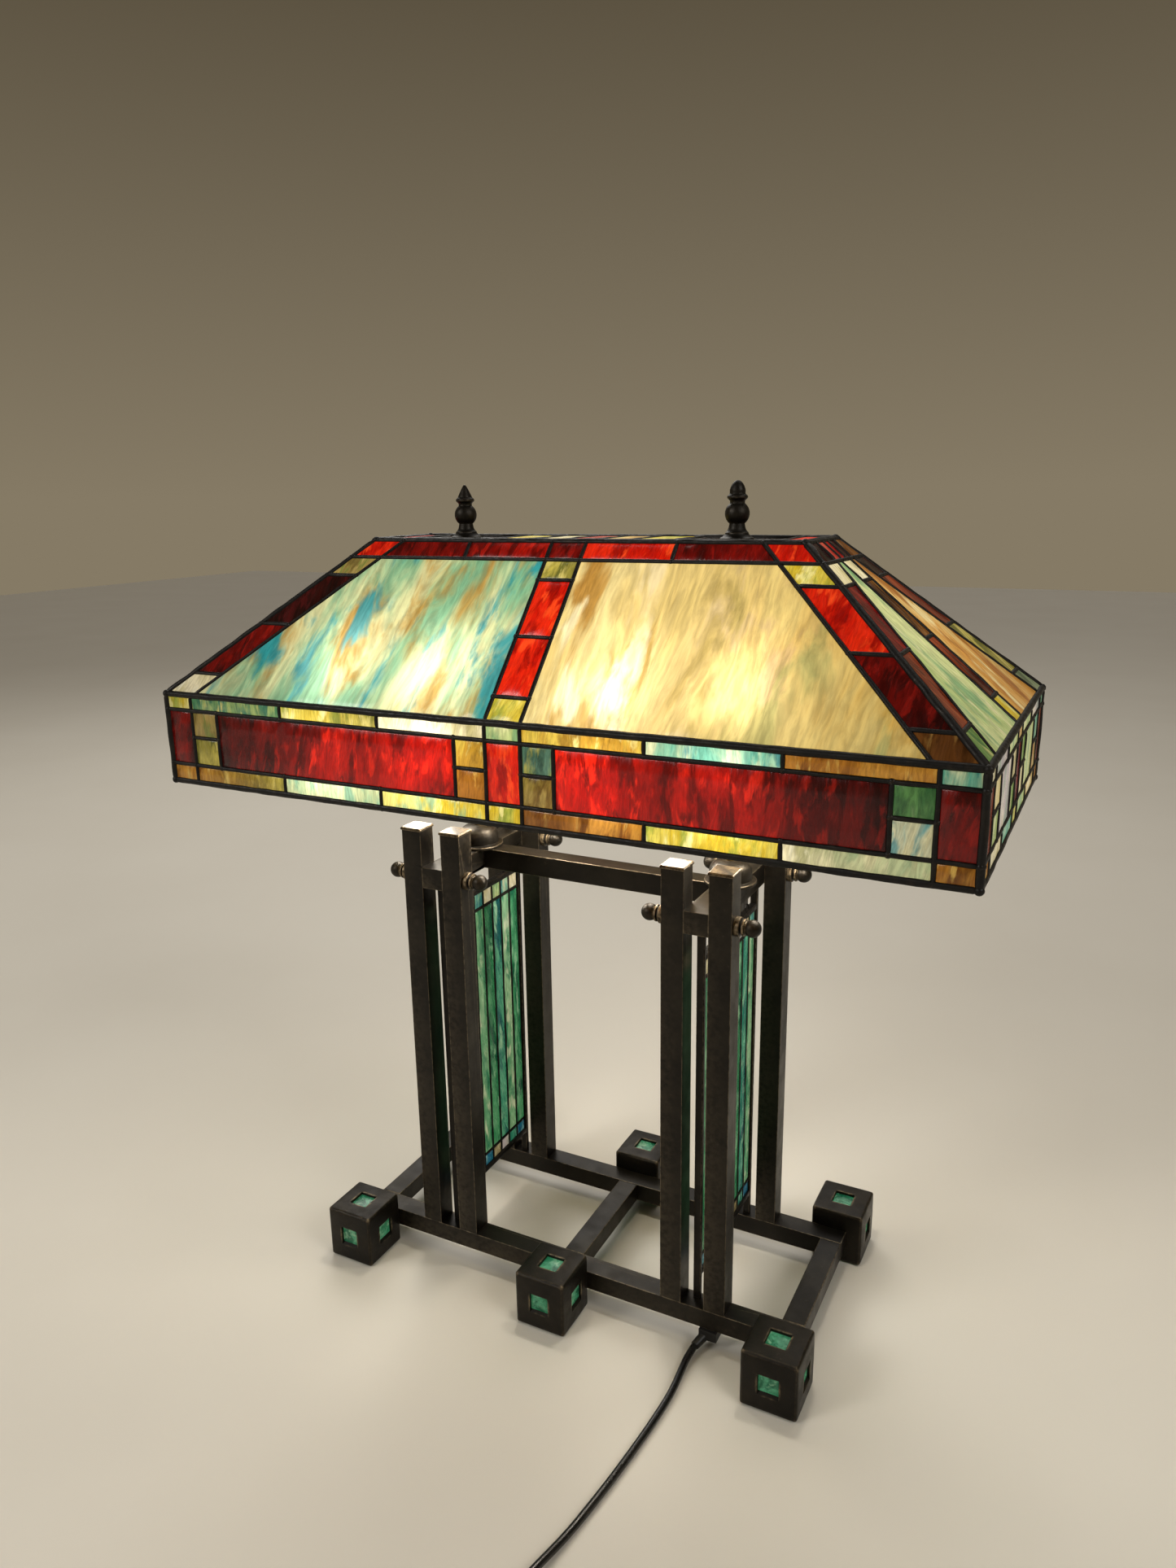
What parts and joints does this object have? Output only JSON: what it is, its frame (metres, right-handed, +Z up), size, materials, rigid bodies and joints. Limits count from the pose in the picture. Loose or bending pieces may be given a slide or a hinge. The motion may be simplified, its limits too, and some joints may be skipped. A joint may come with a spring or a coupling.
{
  "type": "stained glass table lamp",
  "caption": "Table lamp with a wide leaded glass shade over a metal stand with glass-panelled towers, cube feet and ball-nut rods.",
  "frame": {"origin": "on the ground under the middle of the shade", "axes": "+X along the lamp to the right, +Y from the front to the back, +Z up"},
  "size_m": [0.718, 0.6921, 0.7586],
  "materials": {
    "bronze": "dark satin patina",
    "bright_steel": "satin",
    "old_brass": "aged satin",
    "solder": "black patina solder",
    "vent_metal": "textured black patina",
    "shade_glass": "streaky opalescent",
    "panel_glass": "streaky opalescent",
    "mint_glass": "streaky opalescent",
    "bulb_glass": "frosted",
    "lampholder": "moulded",
    "foot_pad": "felt",
    "cord_black": "smooth",
    "moulded_black": "moulded"
  },
  "bodies": {
    "root": {"ball_nuts": "bronze", "cord_coil": "cord_black", "cord_end": "cord_black", "cord_gland": "moulded_black", "cord_lead": "cord_black", "cross_rail_left": "bronze", "cross_rail_middle": "bronze", "cross_rail_right": "bronze", "foot_front_left": "bronze", "foot_front_middle": "bronze", "foot_front_right": "bronze", "foot_glass_insets": "mint_glass", "foot_pads": "foot_pad", "foot_rear_left": "bronze", "foot_rear_middle": "bronze", "foot_rear_right": "bronze", "front_rail": "bronze", "lampholders": "lampholder", "light_clusters": "old_brass", "panel_cames": "solder", "panel_glass_left": "panel_glass", "panel_glass_right": "panel_glass", "panel_stiles": "bronze", "plug": "moulded_black", "post_caps": "bronze", "posts_left_front": "bronze", "posts_left_rear": "bronze", "posts_right_front": "bronze", "posts_right_rear": "bronze", "rear_rail": "bronze", "riser_cups": "bronze", "riser_tubes": "old_brass", "shade_seats": "old_brass", "switch_body": "moulded_black", "tie_rods": "bright_steel", "top_beam": "bronze", "wiring": "cord_black", "yoke_left": "bronze", "yoke_right": "bronze"},
    "shade": {"roof_came_front": "solder", "roof_came_left": "solder", "roof_came_rear": "solder", "roof_came_right": "solder", "roof_glass": "shade_glass", "skirt_came_front": "solder", "skirt_came_left": "solder", "skirt_came_rear": "solder", "skirt_came_right": "solder", "skirt_glass": "shade_glass", "top_came": "solder", "top_glass": "shade_glass", "vent_plates": "vent_metal"},
    "finial_left": {"finial_left": "bronze"},
    "finial_right": {"finial_right": "bronze"},
    "switch_rocker": {"switch_rocker": "moulded_black"},
    "bulb_left_inner": {"bulb_left_inner": "bulb_glass"},
    "bulb_left_outer": {"bulb_left_outer": "bulb_glass"},
    "bulb_right_inner": {"bulb_right_inner": "bulb_glass"},
    "bulb_right_outer": {"bulb_right_outer": "bulb_glass"}
  },
  "joints": [
    {"name": "shade_lift", "type": "slide", "parent": "root", "child": "shade", "axis": [0, 0, 1], "range_m": [0, 0.3]},
    {"name": "finial_left_turn", "type": "hinge", "parent": "shade", "child": "finial_left", "pos_m": [-0.1304, 0, 0.72], "axis": [0, 0, 1], "continuous": true},
    {"name": "finial_right_turn", "type": "hinge", "parent": "shade", "child": "finial_right", "pos_m": [0.1304, 0, 0.72], "axis": [0, 0, 1], "continuous": true},
    {"name": "bulb_left_outer_turn", "type": "hinge", "parent": "root", "child": "bulb_left_outer", "pos_m": [-0.16945, 0, 0.57665], "axis": [-0.342, 0, -0.9397], "continuous": true},
    {"name": "bulb_left_inner_turn", "type": "hinge", "parent": "root", "child": "bulb_left_inner", "pos_m": [-0.09135, 0, 0.57665], "axis": [0.342, 0, -0.9397], "continuous": true},
    {"name": "bulb_right_inner_turn", "type": "hinge", "parent": "root", "child": "bulb_right_inner", "pos_m": [0.09135, 0, 0.57665], "axis": [-0.342, 0, -0.9397], "continuous": true},
    {"name": "bulb_right_outer_turn", "type": "hinge", "parent": "root", "child": "bulb_right_outer", "pos_m": [0.16945, 0, 0.57665], "axis": [0.342, 0, -0.9397], "continuous": true},
    {"name": "switch_press", "type": "hinge", "parent": "root", "child": "switch_rocker", "pos_m": [0.1067, -0.3905, 0.0145], "axis": [0.9869, -0.1615, 0], "range_deg": [0, 12]}
  ]
}
